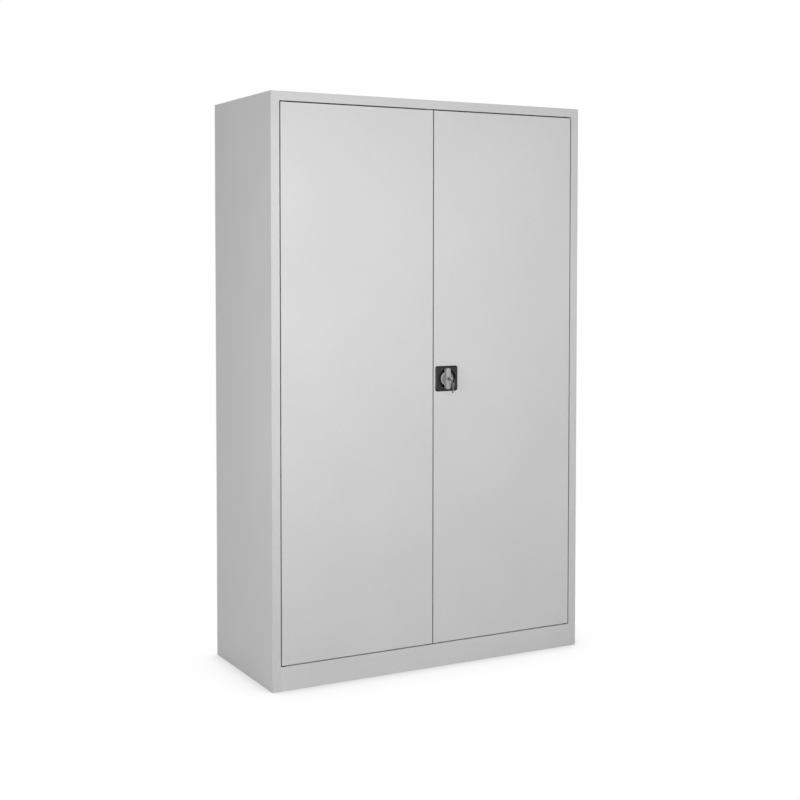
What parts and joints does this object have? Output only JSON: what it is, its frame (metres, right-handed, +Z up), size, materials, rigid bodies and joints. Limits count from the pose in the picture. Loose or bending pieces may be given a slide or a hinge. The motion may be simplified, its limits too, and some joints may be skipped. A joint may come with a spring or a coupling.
{
  "type": "metal storage cabinet",
  "caption": "Tall two-door steel cupboard with inset doors, shelves on slotted rails, and a turning knob lock that drives top and bottom rods, with its keys.",
  "frame": {"origin": "middle of the footprint of the whole object, lock and keys included, on the floor", "axes": "+Z up, the doors face -Y, +X towards the door with the lock"},
  "size_m": [1.2, 0.5435, 1.95],
  "materials": {
    "powder_coat": "light grey semi-matt powder coat on steel sheet",
    "zinc_plate": "bright zinc plated steel",
    "nickel_plate": "nickel plated, polished by use",
    "black_plastic": "black moulded plastic, satin gloss",
    "grey_plastic": "mid grey moulded plastic, satin",
    "nylon": "black nylon"
  },
  "bodies": {
    "carcass": {"left_side_panel": "powder_coat", "right_side_panel": "powder_coat", "top_panel": "powder_coat", "front_plinth": "powder_coat", "door_stop": "powder_coat", "back_panel": "powder_coat", "floor_panel": "powder_coat", "floor_channel": "powder_coat", "left_front_shelf_rail": "powder_coat", "left_rear_shelf_rail": "powder_coat", "right_front_shelf_rail": "powder_coat", "right_rear_shelf_rail": "powder_coat", "shelf_clip_1_left_front": "zinc_plate", "shelf_clip_1_left_rear": "zinc_plate", "shelf_clip_1_right_front": "zinc_plate", "shelf_clip_1_right_rear": "zinc_plate", "shelf_clip_2_left_front": "zinc_plate", "shelf_clip_2_left_rear": "zinc_plate", "shelf_clip_2_right_front": "zinc_plate", "shelf_clip_2_right_rear": "zinc_plate", "shelf_clip_3_left_front": "zinc_plate", "shelf_clip_3_left_rear": "zinc_plate", "shelf_clip_3_right_front": "zinc_plate", "shelf_clip_3_right_rear": "zinc_plate", "shelf_clip_4_left_front": "zinc_plate", "shelf_clip_4_left_rear": "zinc_plate", "shelf_clip_4_right_front": "zinc_plate", "shelf_clip_4_right_rear": "zinc_plate", "left_upper_pivot_bush": "nylon", "left_lower_pivot_bush": "nylon", "right_upper_pivot_bush": "nylon", "right_lower_pivot_bush": "nylon"},
    "shelf_one": {"shelf_1": "powder_coat"},
    "shelf_two": {"shelf_2": "powder_coat"},
    "shelf_three": {"shelf_3": "powder_coat"},
    "shelf_four": {"shelf_4": "powder_coat"},
    "left_leaf": {"left_door": "powder_coat", "left_door_stiffener": "powder_coat", "left_upper_pivot_pin": "zinc_plate", "left_lower_pivot_pin": "zinc_plate", "upper_bolt_guide": "zinc_plate", "lower_bolt_guide": "zinc_plate"},
    "right_leaf": {"right_door": "powder_coat", "right_door_stiffener": "powder_coat", "right_upper_pivot_pin": "zinc_plate", "right_lower_pivot_pin": "zinc_plate", "lock_plate": "black_plastic", "lock_case": "zinc_plate", "upper_rod_guide": "zinc_plate", "lower_rod_guide": "zinc_plate"},
    "upper_bolt": {"upper_slide_bolt": "zinc_plate"},
    "lower_bolt": {"lower_slide_bolt": "zinc_plate"},
    "turning_knob": {"knob": "grey_plastic", "cam": "zinc_plate"},
    "plug": {"lock_plug": "nickel_plate"},
    "first_key": {"key": "nickel_plate"},
    "ring": {"key_ring": "nickel_plate"},
    "second_key": {"spare_key": "nickel_plate"},
    "upper_rod": {"upper_lock_rod": "zinc_plate"},
    "lower_rod": {"lower_lock_rod": "zinc_plate"}
  },
  "joints": [
    {"name": "left_door_hinge", "type": "hinge", "parent": "carcass", "child": "left_leaf", "pos_m": [-0.554, -0.22025, 1], "axis": [0, 0, -1], "range_deg": [0, 110]},
    {"name": "right_door_hinge", "type": "hinge", "parent": "carcass", "child": "right_leaf", "pos_m": [0.554, -0.22025, 1], "axis": [0, 0, 1], "range_deg": [0, 110]},
    {"name": "knob_turn", "type": "hinge", "parent": "right_leaf", "child": "turning_knob", "pos_m": [0.051, -0.22825, 1], "axis": [0, 1, 0], "range_deg": [0, 90]},
    {"name": "upper_rod_travel", "type": "slide", "parent": "right_leaf", "child": "upper_rod", "axis": [0, 0, 1], "range_m": [0, 0.01698]},
    {"name": "lower_rod_travel", "type": "slide", "parent": "right_leaf", "child": "lower_rod", "axis": [0, 0, -1], "range_m": [0, 0.01698]},
    {"name": "key_turn", "type": "hinge", "parent": "turning_knob", "child": "plug", "pos_m": [0.051, -0.24625, 1], "axis": [0, 1, 0], "range_deg": [0, 90]},
    {"name": "key_pull", "type": "slide", "parent": "plug", "child": "first_key", "axis": [0, -1, 0], "range_m": [0, 0.025]},
    {"name": "key_ring_swing", "type": "hinge", "parent": "first_key", "child": "ring", "pos_m": [0.05171, -0.26275, 0.99929], "axis": [-0.7071, 0, -0.7071], "range_deg": [-6, 60]},
    {"name": "spare_key_swing", "type": "hinge", "parent": "ring", "child": "second_key", "pos_m": [0.05736, -0.26275, 0.98564], "axis": [-1, 0, 0], "range_deg": [-12, 60]},
    {"name": "upper_bolt_travel", "type": "slide", "parent": "left_leaf", "child": "upper_bolt", "axis": [0, 0, 1], "range_m": [0, 0.016]},
    {"name": "lower_bolt_travel", "type": "slide", "parent": "left_leaf", "child": "lower_bolt", "axis": [0, 0, -1], "range_m": [0, 0.016]},
    {"name": "shelf_1_lift", "type": "slide", "parent": "carcass", "child": "shelf_one", "axis": [0, 0, 1], "range_m": [0, 0.03]},
    {"name": "shelf_2_lift", "type": "slide", "parent": "carcass", "child": "shelf_two", "axis": [0, 0, 1], "range_m": [0, 0.03]},
    {"name": "shelf_3_lift", "type": "slide", "parent": "carcass", "child": "shelf_three", "axis": [0, 0, 1], "range_m": [0, 0.03]},
    {"name": "shelf_4_lift", "type": "slide", "parent": "carcass", "child": "shelf_four", "axis": [0, 0, 1], "range_m": [0, 0.03]}
  ],
  "couplings": [
    {"joint": "upper_rod_travel", "follows": "knob_turn", "m_per_rad": 0.010804},
    {"joint": "lower_rod_travel", "follows": "knob_turn", "m_per_rad": 0.010804}
  ]
}
